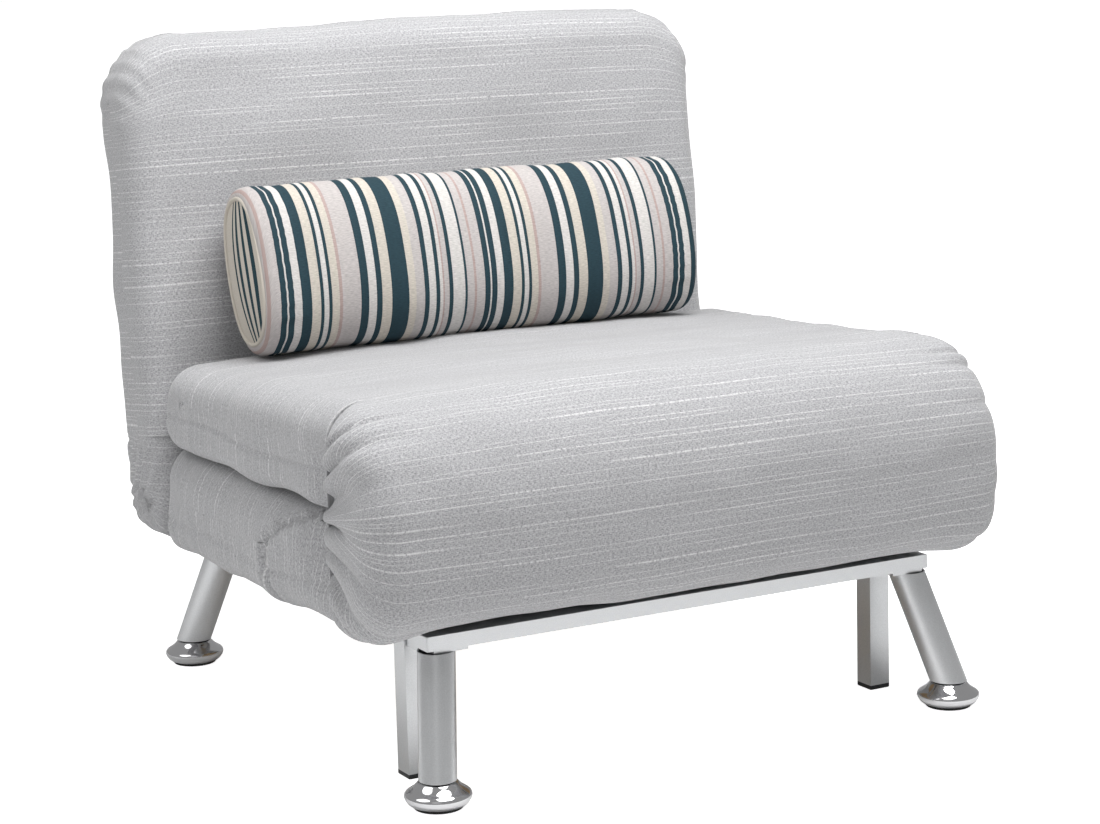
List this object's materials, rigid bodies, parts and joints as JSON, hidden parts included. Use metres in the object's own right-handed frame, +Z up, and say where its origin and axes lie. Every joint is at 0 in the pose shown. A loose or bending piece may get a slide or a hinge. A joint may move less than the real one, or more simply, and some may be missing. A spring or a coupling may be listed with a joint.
{
  "type": "chair bed",
  "caption": "Folding chair bed: a grey woven mattress folded into a seat on a silver steel pull-out frame, with a reclining back and a striped bolster pillow.",
  "frame": {"origin": "on the floor under the centre of the folded chair's bounding box", "axes": "+Z up, -Y towards the front of the chair, +X to the right in a view from the front"},
  "size_m": [0.75, 0.7413, 0.7395],
  "materials": {
    "linen": "matte",
    "foam": "matte",
    "pillow_stripe": "matte",
    "silver_paint": "satin",
    "chrome": "gloss",
    "black_plastic": "satin",
    "rubber": "matte",
    "birch": "satin",
    "zinc_steel": "satin",
    "webbing": "matte"
  },
  "bodies": {
    "base_frame": {"fixed_slat_boots": "black_plastic", "fixed_slats": "birch", "front_fold_cover": "linen", "front_fold_foam": "foam", "middle_cross_rail": "silver_paint", "middle_leg_cap_left": "black_plastic", "middle_leg_cap_right": "black_plastic", "middle_leg_left": "silver_paint", "middle_leg_right": "silver_paint", "pivot_pins": "zinc_steel", "ratchet_plate_left": "zinc_steel", "ratchet_plate_right": "zinc_steel", "rear_cross_rail": "silver_paint", "rear_feet": "chrome", "rear_fold_cover": "linen", "rear_foot_pads": "rubber", "rear_leg_plates": "silver_paint", "rear_leg_plugs": "black_plastic", "rear_legs": "silver_paint", "seat_cover": "linen", "seat_foam": "foam", "side_rail_left": "silver_paint", "side_rail_right": "silver_paint"},
    "extension": {"front_rail": "silver_paint", "front_rail_end_caps": "black_plastic", "runner_left": "silver_paint", "runner_right": "silver_paint", "runner_end_plugs": "black_plastic", "slat_ledge": "silver_paint", "sliding_slats": "birch", "sliding_slat_boots": "black_plastic", "slat_glides": "black_plastic", "front_legs": "silver_paint", "front_leg_plates": "silver_paint", "front_leg_plugs": "black_plastic", "front_feet": "chrome", "front_foot_pads": "rubber"},
    "flap": {"flap_cover": "linen", "flap_foam": "foam"},
    "backrest": {"backrest_cover": "linen", "backrest_foam": "foam", "back_frame": "silver_paint", "back_webbing": "webbing", "hinge_arms": "zinc_steel", "pawl_pins": "zinc_steel"},
    "pillow": {"pillow_cover": "pillow_stripe", "pillow_filling": "foam"},
    "pawl_left": {"pawl_left": "zinc_steel"},
    "pawl_right": {"pawl_right": "zinc_steel"}
  },
  "joints": [
    {"name": "pull_out", "type": "slide", "parent": "base_frame", "child": "extension", "axis": [0, -1, 0], "range_m": [0, 0.41]},
    {"name": "seat_unfold", "type": "hinge", "parent": "base_frame", "child": "flap", "pos_m": [0, -0.32, 0.2812], "axis": [1, 0, 0], "range_deg": [0, 180], "deforming": ["front_fold_cover", "front_fold_foam"]},
    {"name": "backrest_recline", "type": "hinge", "parent": "base_frame", "child": "backrest", "pos_m": [0, 0.2686, 0.2215], "axis": [-1, 0, 0], "range_deg": [0, 84], "deforming": ["rear_fold_cover"]},
    {"name": "pillow_carry", "type": "hinge", "parent": "flap", "child": "pillow", "pos_m": [0, 0.162, 0.32963], "axis": [1, 0, 0], "range_deg": [-180, 0]},
    {"name": "pawl_drop_left", "type": "hinge", "parent": "backrest", "child": "pawl_left", "pos_m": [-0.269, 0.25017, 0.27572], "axis": [-1, 0, 0], "range_deg": [0, 10]},
    {"name": "pawl_drop_right", "type": "hinge", "parent": "backrest", "child": "pawl_right", "pos_m": [0.269, 0.25017, 0.27572], "axis": [-1, 0, 0], "range_deg": [0, 10]}
  ],
  "couplings": [
    {"joint": "pillow_carry", "follows": "seat_unfold", "ratio": -1},
    {"joint": "pawl_drop_right", "follows": "pawl_drop_left", "ratio": 1}
  ]
}
